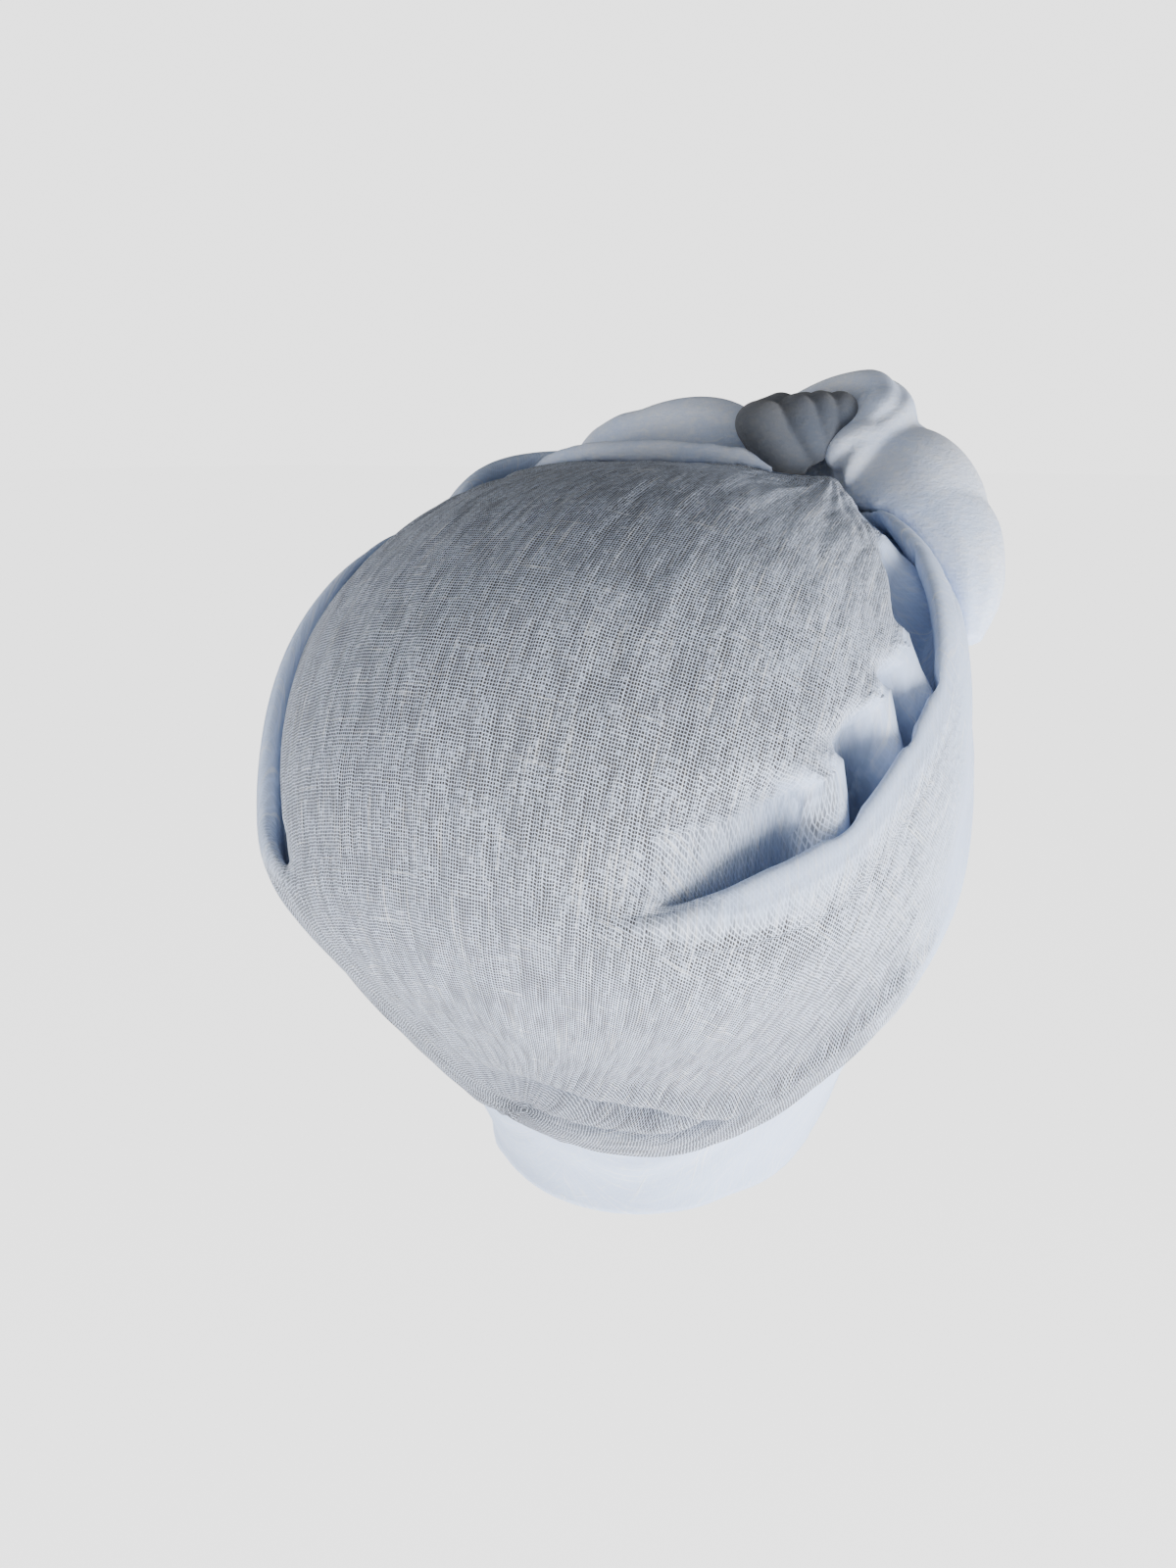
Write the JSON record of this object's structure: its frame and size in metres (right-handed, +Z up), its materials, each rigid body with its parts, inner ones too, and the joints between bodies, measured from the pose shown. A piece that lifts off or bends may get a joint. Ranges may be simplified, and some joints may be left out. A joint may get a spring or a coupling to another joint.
{
  "type": "turban headwrap",
  "caption": "Crinkled cotton gauze scarf wrapped as a close turban: a pleated crown, a folded band down to the nape and a twisted knot over the brow.",
  "frame": {"origin": "middle of the head's hollow at brow height, where the wrap sits on a head", "axes": "+Z up towards the crown, +Y towards the back of the head, +X towards the wearer's left; the knot is over the brow on the -Y side"},
  "size_m": [0.1975, 0.2037, 0.2344],
  "materials": {
    "gauze_single": "pale blue open cotton gauze, one layer, crinkled",
    "gauze_folded": "pale blue cotton gauze, folded double",
    "gauze_bunched": "pale blue cotton gauze, gathered into soft loops",
    "gauze_wound": "pale blue cotton gauze, wound tight"
  },
  "bodies": {
    "root": {"crown_wrap": "gauze_single", "nape_band": "gauze_folded", "knot_loops": "gauze_bunched", "knot_coil": "gauze_wound"}
  },
  "joints": []
}
